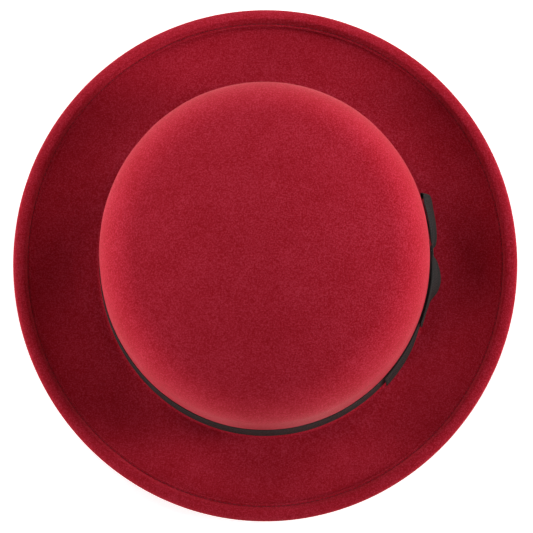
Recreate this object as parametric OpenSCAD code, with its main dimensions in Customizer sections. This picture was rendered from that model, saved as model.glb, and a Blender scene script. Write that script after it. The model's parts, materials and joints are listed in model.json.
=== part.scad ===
// Round-crowned felt hat with a turned, wired brim edge, a ribbon band and a side bow.
// +Z is up, -Y is the wearer's front and +X the wearer's left, where the bow is.
// The origin is the middle of the head opening, on the surface the hat stands on.

/* [Crown] */
// Outside width of the crown at the head line, side to side
crown_w = 190; // [165:1:230]
// Outside length of the crown at the head line, front to back
crown_l = 198; // [170:1:240]
// Height of the crown above the surface the hat stands on
crown_h = 100; // [92:1:125]
// Inward lean of the crown wall, in degrees
wall_lean = 3.5; // [1:0.5:8]
// Radius of the shoulder between the wall and the tip
shoulder_r = 32; // [18:1:36]
// Slope of the domed tip where it meets the shoulder, in degrees
tip_slope = 18; // [8:1:28]

/* [Brim] */
// Overall width of the brim, side to side
brim_w = 287; // [275:1:345]
// Overall length of the brim, front to back
brim_l = 295; // [285:1:360]
// Rise of the brim's edge at the two sides
side_curl = 13.5; // [4:0.5:20]
// Rise of the brim's edge at the front and back
end_curl = 4; // [1:0.5:12]
// Width of the flat ring round the head opening that the hat stands on
stand_w = 6; // [3:0.5:10]

/* [Felt] */
// Thickness of the felt
felt_t = 2.2; // [1.6:0.1:3]
// Radius of the inside corner where the wall turns into the brim
break_r = 2; // [1:0.5:4]

/* [Turned hem] */
// Width of the brim edge that is folded over on top
hem_w = 9.7; // [8.5:0.1:14]
// Distance of the stitch line from the folded edge's raw end
stitch_back = 1.5; // [1:0.1:2.5]
// Thickness of the folded felt between its raw end and the stitches, where it is shaved thin
shaved_t = 0.6; // [0.4:0.1:1.2]
// Downward turn of the hem from the rest of the brim, in degrees
hem_fall = 17; // [0:1:20]
// Diameter of the wire inside the hem
wire_d = 1; // [0.6:0.1:1.6]
// Wall of the sleeve that joins the wire's ends
sleeve_wall = 0.2; // [0.1:0.05:0.4]
// Length of the sleeve that joins the wire's ends
sleeve_l = 16; // [10:1:30]
// Diameter of the sewing thread
thread_d = 0.5; // [0.3:0.1:0.8]

/* [Ribbon] */
// Width of the band and bow ribbon
ribbon_w = 28; // [16:1:34]
// Thickness of the ribbon
ribbon_t = 0.3; // [0.25:0.05:0.6]
// Position of the bow's knot round the crown, in degrees from the wearer's left
knot_az = 3; // [-20:0.1:30]
// Width of the bow's knot along the band
knot_w = 4; // [3:0.5:12]
// How much lower the ribbon is in the knot than at its full width
pinch_in = 6; // [6:0.5:12]
// Length of the front loop from the middle of the knot
front_loop_l = 41.8; // [26:0.1:52]
// Length of the rear loop from the middle of the knot
rear_loop_l = 31.3; // [24:0.1:52]
// Greatest outward bulge of the front loop's lower edge
front_bulge = 5; // [2:0.1:7]
// Greatest outward bulge of the rear loop's lower edge
rear_bulge = 5.7; // [2:0.1:7]
// Length of the ribbon tail from the knot, most of it under the front loop
tail_l = 77.3; // [56:0.1:100]
// How far the lower corner of the tail's cut end stands off the band
tail_stand = 1.7; // [0.5:0.1:3]

/* [Inside] */
// Height of the sweatband
sweat_h = 34; // [24:1:38]
// Thickness of the sweatband
sweat_t = 0.8; // [0.5:0.1:1.2]
// Width of the tab over the sweatband's join
join_w = 14; // [8:1:22]
// Thickness of the satin lining
lining_t = 0.4; // [0.3:0.1:0.8]
// Width of the size label
label_w = 24; // [14:1:34]
// Length of the size label, from its stitched edge down
label_l = 22; // [12:1:26]
// Thickness of the size label
label_t = 0.5; // [0.3:0.1:0.8]

/* [Hidden] */

// Steps round the hat: every shell uses the same ones, so their flats stay parallel
steps = 60;
// Gap between fixed pieces that lie on each other
lay_gap = 0.1;
// Gap between the folded edge and the brim under it
fold_gap = 0.3;
// Running gap between the hinge thread and the label's rolled edge
hinge_gap = 0.08;
// Turn between the steps, in degrees
step_turn = 360 / steps;

felt_red = [0.62, 0.06, 0.11];
ribbon_black = [0.09, 0.085, 0.085];

// ---- the crown's profile: a leaning wall, a shoulder arc and a tip arc, each tangent to the next
crown_rx = crown_w / 2;
crown_extra = (crown_l - crown_w) / 2;
tip_from = 90 - tip_slope;
tip_r = (crown_rx + shoulder_r * (cos(tip_from) - cos(wall_lean))
        - tan(wall_lean) * (crown_h + shoulder_r * (sin(wall_lean) - sin(tip_from))))
    / (cos(tip_from) - tan(wall_lean) * (1 - sin(tip_from)));
shoulder_x = (tip_r - shoulder_r) * cos(tip_from);
shoulder_z = crown_h - tip_r * (1 - sin(tip_from)) - shoulder_r * sin(tip_from);

// Profile radius of the crown wall at height z, inset inwards from the outside of the felt
function wall_r(inset, z) = crown_rx - z * tan(wall_lean) - inset / cos(wall_lean);
function shoulder_at(inset, turn) =
    [shoulder_x + (shoulder_r - inset) * cos(turn), shoulder_z + (shoulder_r - inset) * sin(turn)];
function tip_at(inset, turn) =
    [(tip_r - inset) * cos(turn), crown_h - tip_r + (tip_r - inset) * sin(turn)];

// Numbers from a to b in n equal steps, both ends included
function spread(a, b, n) = [for (i = [0:n]) a + (b - a) * i / n];

// ---- the brim: flat round the head opening, then curling up, more at the sides than at the ends
brim_rx = brim_w / 2;
brim_extra = (brim_l - brim_w) / 2;
break_x = wall_r(0, felt_t + break_r) + break_r;
lift_from = break_x + stand_w;

// Extra half-length, front to back, at profile radius r
function oval(r) = r < crown_rx
    ? crown_extra * r / crown_rx
    : crown_extra + (brim_extra - crown_extra) * (r - crown_rx) / (brim_rx - crown_rx);
function on_curve(r, z, az) = [r * cos(az), (r + oval(r)) * sin(az), z];
// Between the steps, every point lies on the flats that the shells have there
function on_flats(at, az) =
    let (i = floor(az / step_turn), part = az / step_turn - i)
    (1 - part) * at(i * step_turn) + part * at((i + 1) * step_turn);
function place(r, z, az) = on_flats(function (a) on_curve(r, z, a), az);

function curl(az) = end_curl + (side_curl - end_curl) * pow(cos(az), 2);
function lift(r) = pow(max(0, r - lift_from) / (brim_rx - lift_from), 2);
function slope(r, az) = atan(2 * curl(az) * max(0, r - lift_from) / pow(brim_rx - lift_from, 2));
// A point of the brim: r is where it stands on the underside, up is its distance above that side
function brim_at(r, up, az) =
    on_curve(r - up * sin(slope(r, az)), curl(az) * lift(r) + up * cos(slope(r, az)), az);

// ---- the turned hem: the felt folds back over a wire, and its raw end is stitched down
tunnel_d = wire_d + 2 * sleeve_wall + 2 * hinge_gap;
fold_r = felt_t + tunnel_d / 2;
raw_in = fold_r - hem_w;
stitch_in = raw_in + stitch_back;
stitch_top = felt_t + fold_gap + shaved_t;
// The hem's crest, over the inner side of the wire. From beside the stitches the felt takes at least
// this many times its rise to reach it, so that a thicker felt keeps clear of the needle thread
rise_run = 1.69;
crest_top = fold_r + tunnel_d / 2 + 0.7 * felt_t;
crest_w = min(1.5 * fold_r, hem_w - stitch_back - rise_run * (crest_top - stitch_top));
crest_in = fold_r - crest_w;
// The turn comes on gradually over this distance from the raw end
fall_w = 4;

function fall(out) = let (d = max(0, out - raw_in))
    tan(hem_fall) * (d < fall_w ? d * d / (2 * fall_w) : d - fall_w / 2);
function edge_slope(az) = slope(brim_rx - fold_r, az);
function hem_r(az) = brim_rx - fold_r + (fold_r - fall(0)) * sin(edge_slope(az));
// A point of the hem: out is its distance along the brim from the middle of the fold
function hem_at(out, up, az) =
    on_flats(function (a) brim_at(hem_r(a) + out * cos(edge_slope(a)), up - fall(out), a), az);
// A point of the brim, part of the way from the corner at the wall to the hem's raw end
function web_at(part, up, az) =
    brim_at(break_x + part * (hem_r(az) + raw_in * cos(edge_slope(az)) - break_x), up, az);

// ---- solids from rings of points
// Sections are polygons with as many points each, in right-hand order about the direction of travel
module swept(sections, closed = false) {
    count = len(sections);
    sides = len(sections[0]);
    last = closed ? count - 1 : count - 2;
    walls = [for (i = [0:last], j = [0:sides - 1])
        let (i1 = (i + 1) % count, j1 = (j + 1) % sides,
            a = i * sides + j, b = i1 * sides + j, c = i1 * sides + j1, d = i * sides + j1)
        each [[a, b, c], [a, c, d]]];
    caps = closed ? [] : [
        [for (j = [0:sides - 1]) j],
        [for (j = [sides - 1:-1:0]) (count - 1) * sides + j]
    ];
    polyhedron(points = [for (s = sections, p = s) p], faces = concat(walls, caps), convexity = 10);
}

// Rings from an outer pole, out over a dome and back inside it to an inner pole
module domed(outer_pole, rings, inner_pole) {
    count = len(rings);
    inner = 1 + count * steps;
    top = [for (j = [0:steps - 1]) [0, 1 + (j + 1) % steps, 1 + j]];
    walls = [for (i = [0:count - 2], j = [0:steps - 1])
        let (j1 = (j + 1) % steps, a = 1 + i * steps + j, b = 1 + i * steps + j1)
        each [[a, b, b + steps], [a, b + steps, a + steps]]];
    base = inner - steps;
    under = [for (j = [0:steps - 1]) [inner, base + j, base + (j + 1) % steps]];
    polyhedron(
        points = concat([outer_pole], [for (r = rings, p = r) p], [inner_pole]),
        faces = concat(top, walls, under), convexity = 10);
}

azimuths = [for (i = [0:steps - 1]) step_turn * i];
// Azimuths for swept(), turning clockwise so that profiles run counter-clockwise from r to z
clockwise = [for (i = [0:steps - 1]) -step_turn * i];

// A ring round the crown, whose profile is a list of [r, z]
module crown_ring(profile) {
    swept([for (az = clockwise) [for (p = profile) place(p[0], p[1], az)]], closed = true);
}

// A sheet on the crown wall, from z0 up to z1, its outer face inset by from and its inner by to
function wall_sheet(from, to, z0, z1) = [
    [wall_r(to, z0), z0], [wall_r(from, z0), z0], [wall_r(from, z1), z1], [wall_r(to, z1), z1]
];

// ---- the felt: one blocked piece, crown, brim and folded hem
function dome_rows(inset) = concat(
    [for (t = spread(90 - tip_slope / 5, tip_from, 4)) tip_at(inset, t)],
    [for (t = spread(tip_from, wall_lean, 6)) if (t < tip_from) shoulder_at(inset, t)]
);
function crown_rows(inset, z_end) = concat(dome_rows(inset), [[wall_r(inset, z_end), z_end]]);
function crown_rings(rows) = [for (p = rows) [for (az = azimuths) place(p[0], p[1], az)]];
function reversed(list) = [for (i = [len(list) - 1:-1:0]) list[i]];

// The corner between wall and brim, at a distance from its centre, turned from the wall to the brim
corner_z = felt_t + break_r;
function corner_rows(r) = [for (t = [30, 60]) [break_x - r * cos(t), corner_z - r * sin(t)]];

hem_rows = concat(
    [[raw_in, felt_t], [stitch_in, felt_t], [stitch_in / 2, felt_t]],
    [for (t = [-90, -45, 0, 45, 90]) [tunnel_d / 2 * cos(t), fold_r + tunnel_d / 2 * sin(t)]],
    [[stitch_in, felt_t + fold_gap], [raw_in, felt_t + fold_gap], [raw_in, stitch_top]],
    [for (p = [[0, 0], [0.32, 0.3], [0.66, 0.78]])
        [stitch_in + p[0] * (crest_in - stitch_in), stitch_top + p[1] * (crest_top - stitch_top)]],
    [for (t = [90, 68, 46, 24, 0]) [crest_in + crest_w * cos(t), fold_r + (crest_top - fold_r) * sin(t)]],
    [for (t = [-30, -60, -90]) [fold_r * cos(t), fold_r + fold_r * sin(t)]],
    [[stitch_in / 2, 0], [stitch_in, 0]]
);

module felt_body() {
    web_parts = [0.12, 0.34, 0.56, 0.78];
    rings = concat(
        crown_rings(crown_rows(0, corner_z)),
        crown_rings(corner_rows(break_r)),
        [for (w = concat([0], web_parts)) [for (az = azimuths) web_at(w, felt_t, az)]],
        [for (h = hem_rows) [for (az = azimuths) hem_at(h[0], h[1], az)]],
        [for (w = concat([1], reversed(web_parts))) [for (az = azimuths) web_at(w, 0, az)]],
        crown_rings([[break_x, 0]]),
        crown_rings(reversed(corner_rows(break_r + felt_t))),
        crown_rings(reversed(crown_rows(felt_t, corner_z)))
    );
    color(felt_red) domed([0, 0, crown_h], rings, [0, 0, crown_h - felt_t]);
}

// ---- what is in the hem
// Sections of a round thread or wire along the hem, from one azimuth to another
function hem_tube(out, up, r, sides, turns) = [for (az = turns) [for (k = [0:sides - 1])
    hem_at(out + r * cos(360 * k / sides), up + r * sin(360 * k / sides), az)]];

back_az = 90;
wire_gap = 1;
wire_turns = concat(
    [back_az - wire_gap / 2], [for (i = [1:steps - 1]) back_az - step_turn * i],
    [back_az - 360 + wire_gap / 2]
);
sleeve_turn = sleeve_l / (brim_rx + brim_extra) * 180 / PI;

module brim_wire() {
    color("silver") swept(hem_tube(0, fold_r, wire_d / 2, 8, wire_turns));
}

module wire_sleeve() {
    bore = wire_d / 2 + hinge_gap / 2;
    half = sleeve_turn / 2;
    past = 1.1 * half;
    color("goldenrod") difference() {
        swept(hem_tube(0, fold_r, bore + sleeve_wall, 8, [back_az + half, back_az, back_az - half]));
        swept(hem_tube(0, fold_r, bore, 8, [back_az + past, back_az, back_az - past]));
    }
}

module hem_needle_thread() {
    up = stitch_top + thread_d / 2 + lay_gap / 2;
    color([0.72, 0.12, 0.17]) swept(hem_tube(stitch_in, up, thread_d / 2, 6, clockwise), closed = true);
}

module hem_bobbin_thread() {
    up = -thread_d / 2 - lay_gap / 2;
    color([0.72, 0.12, 0.17]) swept(hem_tube(stitch_in, up, thread_d / 2, 6, clockwise), closed = true);
}

// ---- the ribbon band and its bow
band_z = corner_z;
band_top = band_z + ribbon_w;
band_mid = band_z + ribbon_w / 2;
pinch_h = ribbon_w - pinch_in;
// Distances outwards from the felt to the middle of each layer
band_off = lay_gap + ribbon_t / 2;
knot_back_off = band_off + ribbon_t + lay_gap;
inner_leaf_off = knot_back_off + ribbon_t + lay_gap;
outer_leaf_off = inner_leaf_off + ribbon_t + lay_gap;
knot_front_off = outer_leaf_off + ribbon_t + lay_gap;

module hatband() {
    color(ribbon_black)
        crown_ring(wall_sheet(-band_off - ribbon_t / 2, -band_off + ribbon_t / 2, band_z, band_top));
}

// A point near the wearer's left: along the band from the knot's middle, out from the felt, and up
along_deg = 180 / PI / (crown_rx + oval(crown_rx) / 4);
function band_at(along, out, z) = on_curve(wall_r(-out, z), z, knot_az + along * along_deg);

// A ribbon from stations [along, out at the lower edge, out at the upper edge, lower z, upper z]
function ribbon_side(list, i, edge, side) =
    let (a = list[max(0, i - 1)], b = list[min(len(list) - 1, i + 1)],
        run = [b[0] - a[0], b[edge] - a[edge]],
        across = [-run[1], run[0]] / norm(run) * side * ribbon_t / 2)
    band_at(list[i][0] + across[0], list[i][edge] + across[1], list[i][edge + 2]);
function ribbon_sections(list) = [for (i = [0:len(list) - 1]) [
    ribbon_side(list, i, 1, -1), ribbon_side(list, i, 2, -1),
    ribbon_side(list, i, 2, 1), ribbon_side(list, i, 1, 1)
]];

// How far the ribbon has opened out, from 0 beside the knot to 1 at full width
function opened(part) = let (t = min(1, part / 0.45)) t * t * (3 - 2 * t);
function leaf_low(part) = band_mid - pinch_h / 2 - opened(part) * (ribbon_w - pinch_h) / 2;
function leaf_high(part) = band_mid + pinch_h / 2 + opened(part) * (ribbon_w - pinch_h) / 2;

// A loop's leaves: out along the band, round a fold at its end, and back over a bulge
// Each shape lists [part of the way from the knot's edge to the fold, part of the bulge],
// for the lower or upper edge of the outer leaf
front_low = [[0, 0], [0.03, 0.2], [0.13, 0.62], [0.22, 0.84], [0.34, 0.97],
    [0.47, 0.75], [0.6, 0.2], [0.72, 0.06], [1, 0.06]];
front_high = [[0, 0], [0.34, 0.02], [0.6, 0.01], [1, 0.05]];
rear_low = [[0, 0], [0.04, 0.22], [0.15, 0.46], [0.3, 0.62], [0.5, 0.74], [0.73, 0.84], [0.9, 0.98], [1, 1]];
rear_high = [[0, 0], [0.3, 0.01], [0.6, 0.02], [0.85, 0.08], [1, 0.26]];
// Where the leaves end inside the knot, from its middle
loop_root = 1;
// Steps along each leaf and round the fold
loop_steps = 12;
fold_steps = 4;
// way is 1 for the loop to the rear and -1 for the one to the front
function loop_stations(way, length, bulge, low, high) =
    let (fold_at = 0.95,
        parts = spread(0, fold_at, loop_steps),
        out_low = function (p) outer_leaf_off + bulge * lookup(p, low),
        out_high = function (p) outer_leaf_off + bulge * lookup(p, high),
        turn_low = (out_low(1) - inner_leaf_off) / 2,
        turn_high = (out_high(1) - inner_leaf_off) / 2,
        reach = function (p) way * (knot_w / 2 + p * (length - knot_w / 2)),
        root = function (out) [way * loop_root, out, out, leaf_low(0), leaf_high(0)])
    concat(
        [root(inner_leaf_off)],
        [for (p = parts)
            [reach(p), inner_leaf_off, inner_leaf_off, leaf_low(p), leaf_high(p)]],
        [for (k = [1:fold_steps - 1]) let (t = 180 * k / fold_steps)
            [reach(fold_at + (1 - fold_at) * sin(t)),
                inner_leaf_off + turn_low * (1 - cos(t)), inner_leaf_off + turn_high * (1 - cos(t)),
                leaf_low(1), leaf_high(1)]],
        [for (p = reversed(parts)) [reach(p), out_low(p), out_high(p), leaf_low(p), leaf_high(p)]],
        [root(outer_leaf_off)]
    );

module bow_front_loop() {
    stations = loop_stations(-1, front_loop_l, front_bulge, front_low, front_high);
    color(ribbon_black) swept(ribbon_sections(stations));
}

module bow_rear_loop() {
    stations = loop_stations(1, rear_loop_l, rear_bulge, rear_low, rear_high);
    color(ribbon_black) swept(ribbon_sections(stations));
}

// The knot is a flat wrap round the pinched leaves
module bow_knot() {
    wrap_low = band_mid - pinch_h / 2 - lay_gap;
    wrap_high = band_mid + pinch_h / 2 + lay_gap;
    ring = function (along, grow) [
        band_at(along, knot_back_off + ribbon_t / 2 - grow, wrap_low - grow),
        band_at(along, knot_back_off + ribbon_t / 2 - grow, wrap_high + grow),
        band_at(along, knot_front_off - ribbon_t / 2 + grow, wrap_high + grow),
        band_at(along, knot_front_off - ribbon_t / 2 + grow, wrap_low - grow)
    ];
    across = spread(-knot_w / 2, knot_w / 2, 4);
    color(ribbon_black) difference() {
        swept([for (x = across) ring(x, ribbon_t)]);
        swept([for (x = across * 1.2) ring(x, 0)]);
    }
}

// Thread bars above and below the knot, which sew its wrap to the band
module bow_knot_tacks() {
    reach = 1.6;
    edges = [band_mid + pinch_h / 2 + lay_gap + ribbon_t, band_mid - pinch_h / 2 - lay_gap - ribbon_t];
    out = knot_back_off + thread_d / 2 - ribbon_t / 2;
    color([0.16, 0.15, 0.15]) for (way = [-1, 1], edge = [0, 1], x = [-knot_w / 4, knot_w / 4])
        if (way == 1 - 2 * edge)
            let (z0 = edges[edge] + way * (thread_d / 4 + lay_gap / 2), z1 = z0 + way * reach)
            hull() {
                translate(band_at(x, out, z0 + way * thread_d / 4)) sphere(d = thread_d, $fn = 12);
                translate(band_at(x, out, z1)) sphere(d = thread_d, $fn = 12);
            }
}

// Small stitches over the band's upper edge, round the part of the crown that the bow leaves clear
module hatband_tacks() {
    tack_turns = spread(knot_az + 36, knot_az + 290, 6);
    tack_l = 3;
    out = band_off + ribbon_t / 2 + thread_d / 2 + lay_gap / 2;
    color([0.16, 0.15, 0.15]) for (az = tack_turns)
        hull() for (z = [band_top - tack_l * 0.7, band_top + tack_l * 0.3])
            translate(place(wall_r(-out, z), z, az)) sphere(d = thread_d, $fn = 12);
}

// The tail starts beside the knot, runs under the front loop and ends in a square cut
tail_root = -knot_w / 2 - lay_gap;
// From this part of its length on, the tail stands off the band, its lower edge more than its upper
tail_free = 0.55;
tail_high = 0.2;
module ribbon_tail() {
    stations = [for (p = spread(0, 1, 16))
        let (free = max(0, p - tail_free) / (1 - tail_free),
            low = knot_back_off + tail_stand * (1 - pow(1 - free, 3)),
            high = knot_back_off + tail_stand * tail_high * pow(free, 3))
        [tail_root - p * tail_l, low, high, band_z, band_top]];
    color(ribbon_black) swept(ribbon_sections(stations));
}

// ---- inside the crown
sweat_z = corner_z + 0.8;
lining_out = felt_t + lay_gap;
lining_in = lining_out + lining_t;
sweat_out = lining_in + lay_gap;
sweat_in = sweat_out + sweat_t;

module sweatband() {
    color([0.11, 0.1, 0.1]) crown_ring(wall_sheet(sweat_out, sweat_in, sweat_z, sweat_z + sweat_h));
}

// One round of stitches near the sweatband's lower edge, on its inner face
module sweatband_thread() {
    z = sweat_z + 2.5;
    r = wall_r(sweat_in + thread_d / 2 + lay_gap / 2, z);
    color([0.3, 0.28, 0.28]) crown_ring([for (k = [0:5])
        [r + thread_d / 2 * cos(60 * k), z + thread_d / 2 * sin(60 * k)]]);
}

// A folded tab over the join at the back
module sweatband_join_tab() {
    half_turn = join_w / 2 / (crown_rx + crown_extra) * 180 / PI;
    z0 = sweat_z + 2.5 + thread_d + lay_gap;
    profile = wall_sheet(sweat_in + lay_gap, sweat_in + lay_gap + sweat_t, z0, sweat_z + sweat_h);
    color([0.14, 0.13, 0.13]) swept([for (t = spread(half_turn, -half_turn, 4))
        [for (p = profile) place(p[0], p[1], back_az + t)]]);
}

// The lining: a strip round the wall, tucked behind the sweatband, and a tip that carries on from it
seam_d = 1.2;
seam_reach = seam_d / 2 + lay_gap / 2;
seam_z = shoulder_z + (shoulder_r - lining_in) * sin(wall_lean) - seam_reach;
lining_z = sweat_z + 4;

module lining_side() {
    color([0.5, 0.05, 0.09])
        crown_ring(wall_sheet(lining_out, lining_in, lining_z, seam_z - seam_reach));
}

module lining_tip() {
    rings = concat(crown_rings(dome_rows(lining_out)), crown_rings(reversed(dome_rows(lining_in))));
    color([0.5, 0.05, 0.09])
        domed([0, 0, crown_h - lining_out], rings, [0, 0, crown_h - lining_in]);
}

// The corded seam between them
module lining_seam_cord() {
    centre = wall_r(lining_out + seam_d / 2, seam_z);
    color([0.42, 0.04, 0.08]) crown_ring([for (k = [0:5])
        [centre + seam_d / 2 * cos(60 * k), seam_z + seam_d / 2 * sin(60 * k)]]);
}

// The size label swings on a thread that is sewn across the sweatband, at the wearer's right
hinge_z = sweat_z + sweat_h - 4;
hinge_bore = thread_d / 2 + hinge_gap;
barrel_r = hinge_bore + label_t;
anchor_y = label_w / 2 + 1;
// Where the sweatband's inner face is at height hinge_z, at a distance y from the middle
function sweat_face(y) =
    let (r = wall_r(sweat_in, hinge_z))
    -place(r, hinge_z, 180 - asin(y / (r + oval(r))))[0];
hinge_x = -(sweat_face(anchor_y) - barrel_r - 2 * lay_gap);

module size_label() {
    color("white") difference() {
        union() {
            translate([hinge_x, label_w / 2, hinge_z]) rotate([90, 0, 0])
                cylinder(r = barrel_r, h = label_w, $fn = 48);
            translate([hinge_x - label_t / 2, -label_w / 2, hinge_z - label_l])
                cube([label_t, label_w, label_l]);
        }
        translate([hinge_x, label_w / 2 + 1, hinge_z]) rotate([90, 0, 0])
            cylinder(r = hinge_bore, h = label_w + 2, $fn = 48);
    }
}

// The thread lies along the label's rolled edge and turns into the sweatband at both ends
module label_thread() {
    foot_x = -(sweat_face(anchor_y) - lay_gap);
    color([0.3, 0.28, 0.28]) union() {
        translate([hinge_x, anchor_y, hinge_z]) rotate([90, 0, 0])
            cylinder(d = thread_d, h = 2 * anchor_y, $fn = 48);
        for (side = [-1, 1])
            translate([foot_x, side * (anchor_y - thread_d / 2), hinge_z]) rotate([0, 90, 0])
                cylinder(d = thread_d, h = hinge_x - foot_x, $fn = 48);
    }
}

felt_body();
brim_wire();
wire_sleeve();
hem_needle_thread();
hem_bobbin_thread();
hatband();
hatband_tacks();
bow_front_loop();
bow_rear_loop();
bow_knot();
bow_knot_tacks();
ribbon_tail();
sweatband();
sweatband_thread();
sweatband_join_tab();
lining_side();
lining_tip();
lining_seam_cord();
size_label();
label_thread();
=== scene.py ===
"""The looks of a round-crowned felt hat with a ribbon band and a side bow, seen from above its front."""
import json
import math

import bpy
import numpy as np
from mathutils import Matrix, Vector


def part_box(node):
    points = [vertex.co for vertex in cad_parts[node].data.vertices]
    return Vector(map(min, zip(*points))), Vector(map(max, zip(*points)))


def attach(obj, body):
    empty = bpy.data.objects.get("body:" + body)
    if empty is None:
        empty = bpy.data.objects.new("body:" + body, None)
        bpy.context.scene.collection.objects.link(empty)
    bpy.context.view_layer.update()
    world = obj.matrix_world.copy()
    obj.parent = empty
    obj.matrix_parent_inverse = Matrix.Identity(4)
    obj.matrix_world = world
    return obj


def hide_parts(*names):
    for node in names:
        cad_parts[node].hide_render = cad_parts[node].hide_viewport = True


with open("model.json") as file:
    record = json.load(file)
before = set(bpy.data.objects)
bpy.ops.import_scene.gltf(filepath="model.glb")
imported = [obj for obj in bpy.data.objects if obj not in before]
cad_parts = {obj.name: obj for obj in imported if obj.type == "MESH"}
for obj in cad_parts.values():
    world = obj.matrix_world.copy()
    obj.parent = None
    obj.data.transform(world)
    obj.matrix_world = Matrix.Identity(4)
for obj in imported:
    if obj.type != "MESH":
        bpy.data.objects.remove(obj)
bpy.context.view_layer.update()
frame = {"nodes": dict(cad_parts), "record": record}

MM = 0.001

# ---------------------------------------------------------------- sizes, the same as the CAD's
CROWN_W, CROWN_L = 190 * MM, 198 * MM
CROWN_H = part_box("felt_body")[1].z
WALL_LEAN = math.radians(3.5)
SHOULDER_R = 32 * MM
TIP_SLOPE = math.radians(18)
BRIM_W, BRIM_L = 287 * MM, 295 * MM
SIDE_CURL, END_CURL = 13.5 * MM, 4 * MM
STAND_W = 6 * MM
FELT_T = 2.2 * MM
BREAK_R = 2 * MM
HEM_W = 9.7 * MM
STITCH_BACK = 1.5 * MM
SHAVED_T = 0.6 * MM
HEM_FALL = math.radians(17)
FALL_W = 4 * MM
TUNNEL_D = 1.56 * MM
FOLD_GAP = 0.3 * MM
THREAD_R = 0.25 * MM
RIBBON_W, RIBBON_T = 28 * MM, 0.3 * MM
LAY_GAP = 0.1 * MM
KNOT_AZ = math.radians(3.0)
KNOT_W, PINCH_H = 4 * MM, 22 * MM
FRONT_LOOP_L, REAR_LOOP_L = 41.8 * MM, 31.3 * MM
FRONT_BULGE, REAR_BULGE = 5 * MM, 5.7 * MM
TAIL_L, TAIL_STAND = 77.3 * MM, 1.7 * MM
SWEAT_T = 0.8 * MM
LINING_T = 0.4 * MM
SEAM_D = 1.2 * MM
LABEL_T, LABEL_BORE_R = 0.5 * MM, 0.33 * MM

# ---------------------------------------------------------------- camera
CAMERA_DISTANCE = 1.5
CAMERA_TILT = math.radians(6.3)     # from straight above, towards the wearer's front
CAMERA_ASIDE = math.radians(0.5)    # and a little towards the wearer's left
LENS_MM = 176


def make_camera():
    """The camera, high above the hat, with the wearer's front at the bottom of the picture."""
    data = bpy.data.cameras.new("camera")
    data.lens = LENS_MM
    data.sensor_width = 36
    data.clip_start, data.clip_end = 0.1, 10
    camera = bpy.data.objects.new("camera", data)
    bpy.context.scene.collection.objects.link(camera)
    back = Vector((math.sin(CAMERA_ASIDE), -math.sin(CAMERA_TILT), math.cos(CAMERA_TILT))).normalized()
    right = Vector((0, 1, 0)).cross(back).normalized()
    turn = Matrix((right, back.cross(right), back)).transposed()
    camera.matrix_world = Matrix.Translation(back * CAMERA_DISTANCE) @ turn.to_4x4()
    data.shift_x, data.shift_y = 0.0025, -0.005
    bpy.context.scene.camera = camera


make_camera()

# ---------------------------------------------------------------- the crown's and brim's shape
CROWN_RX = CROWN_W / 2
CROWN_EXTRA = (CROWN_L - CROWN_W) / 2
BRIM_RX = BRIM_W / 2
BRIM_EXTRA = (BRIM_L - BRIM_W) / 2
TIP_FROM = math.pi / 2 - TIP_SLOPE
LEAN = math.tan(WALL_LEAN)
TIP_R = (
    CROWN_RX
    + SHOULDER_R * (math.cos(TIP_FROM) - math.cos(WALL_LEAN))
    - LEAN * (CROWN_H + SHOULDER_R * (math.sin(WALL_LEAN) - math.sin(TIP_FROM)))
) / (math.cos(TIP_FROM) - LEAN * (1 - math.sin(TIP_FROM)))
SHOULDER_X = (TIP_R - SHOULDER_R) * math.cos(TIP_FROM)
SHOULDER_Z = CROWN_H - TIP_R * (1 - math.sin(TIP_FROM)) - SHOULDER_R * math.sin(TIP_FROM)
CORNER_Z = FELT_T + BREAK_R
FOLD_R = FELT_T + TUNNEL_D / 2
RAW_IN = FOLD_R - HEM_W
STITCH_IN = RAW_IN + STITCH_BACK
STITCH_TOP = FELT_T + FOLD_GAP + SHAVED_T
CREST_W = 1.5 * FOLD_R
CREST_IN = FOLD_R - CREST_W
CREST_TOP = FOLD_R + TUNNEL_D / 2 + 0.7 * FELT_T


def wall_r(inset, z):
    """Profile radius of the crown wall at height z, that far inside the outside of the felt."""
    return CROWN_RX - z * LEAN - inset / math.cos(WALL_LEAN)


BREAK_X = wall_r(0, CORNER_Z) + BREAK_R
LIFT_FROM = BREAK_X + STAND_W


def oval(r):
    """Extra half-length, front to back, at profile radius r."""
    crown_part = CROWN_EXTRA * r / CROWN_RX
    brim_part = CROWN_EXTRA + (BRIM_EXTRA - CROWN_EXTRA) * (r - CROWN_RX) / (BRIM_RX - CROWN_RX)
    return np.where(r < CROWN_RX, crown_part, brim_part)


def on_curve(r, z, az):
    """Points at profile radius r and height z, round the hat at the azimuths az."""
    r, z, az = np.broadcast_arrays(np.asarray(r, float), np.asarray(z, float), az)
    return np.stack([r * np.cos(az), (r + oval(r)) * np.sin(az), z], axis=-1)


def curl(az):
    """How high the brim's edge stands there."""
    return END_CURL + (SIDE_CURL - END_CURL) * np.cos(az) ** 2


def lift(r):
    """The part of the curl that the brim has reached at that radius."""
    return (np.maximum(0, r - LIFT_FROM) / (BRIM_RX - LIFT_FROM)) ** 2


def slope(r, az):
    """The brim's angle there, from level."""
    return np.arctan(2 * curl(az) * np.maximum(0, r - LIFT_FROM) / (BRIM_RX - LIFT_FROM) ** 2)


def brim_at(r, up, az):
    """A point of the brim: r is on its underside, and up is the distance above that side."""
    tilt = slope(r, az)
    return on_curve(r - up * np.sin(tilt), curl(az) * lift(r) + up * np.cos(tilt), az)


def fall(out):
    """How far the hem has turned down at that distance out."""
    d = max(0, out - RAW_IN)
    return math.tan(HEM_FALL) * (d * d / (2 * FALL_W) if d < FALL_W else d - FALL_W / 2)


def hem_r(az):
    """The radius at which the hem's fold has its middle."""
    return BRIM_RX - FOLD_R + (FOLD_R - fall(0)) * np.sin(slope(BRIM_RX - FOLD_R, az))


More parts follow.
